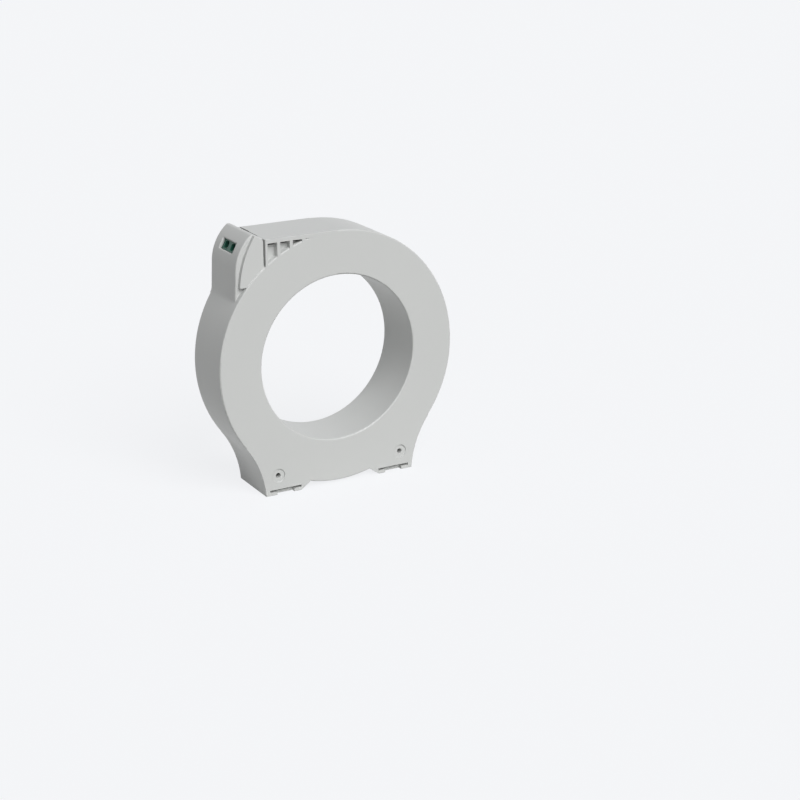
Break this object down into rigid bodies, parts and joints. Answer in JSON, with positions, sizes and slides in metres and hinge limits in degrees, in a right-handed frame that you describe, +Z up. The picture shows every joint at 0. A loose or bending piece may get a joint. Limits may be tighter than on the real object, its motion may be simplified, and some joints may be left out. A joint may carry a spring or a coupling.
{
  "type": "current transformer",
  "caption": "Ring-type current transformer: a flat moulded ring on two slotted feet, with a round bore for the conductors and a hood that holds a recessed terminal.",
  "frame": {"origin": "middle of the box on the surface that the feet stand on", "axes": "+Z up, +X to the right of a viewer who faces the front, +Y from the front face towards the rear cover, along the bore"},
  "size_m": [0.168, 0.0388, 0.1731],
  "materials": {
    "case_grey": "satin light grey moulded plastic",
    "core_strip": "wound soft magnetic strip",
    "box_plastic": "natural moulded nylon",
    "winding_wire": "enamelled copper wire",
    "tape": "polyester tape",
    "foam": "closed-cell foam",
    "band_steel": "rolled screening steel",
    "lead_sleeve": "insulated stranded wire",
    "board_green": "solder-masked laminate",
    "terminal_green": "green moulded polyamide",
    "contact_tin": "tinned copper alloy",
    "spring_steel": "stainless spring strip",
    "diode_black": "moulded epoxy with tinned wires"
  },
  "bodies": {
    "root": {"housing": "case_grey", "rear_cover": "case_grey", "strip_core": "core_strip", "core_tray": "box_plastic", "core_lid": "box_plastic", "secondary_winding": "winding_wire", "winding_tape": "tape", "front_pad": "foam", "rear_pad": "foam", "screen_band": "band_steel", "start_lead": "lead_sleeve", "end_lead": "lead_sleeve", "circuit_board": "board_green", "terminal_block": "terminal_green", "contact_front": "contact_tin", "contact_rear": "contact_tin", "spring_front": "spring_steel", "spring_rear": "spring_steel", "diode_front": "diode_black", "diode_rear": "diode_black"}
  },
  "joints": []
}
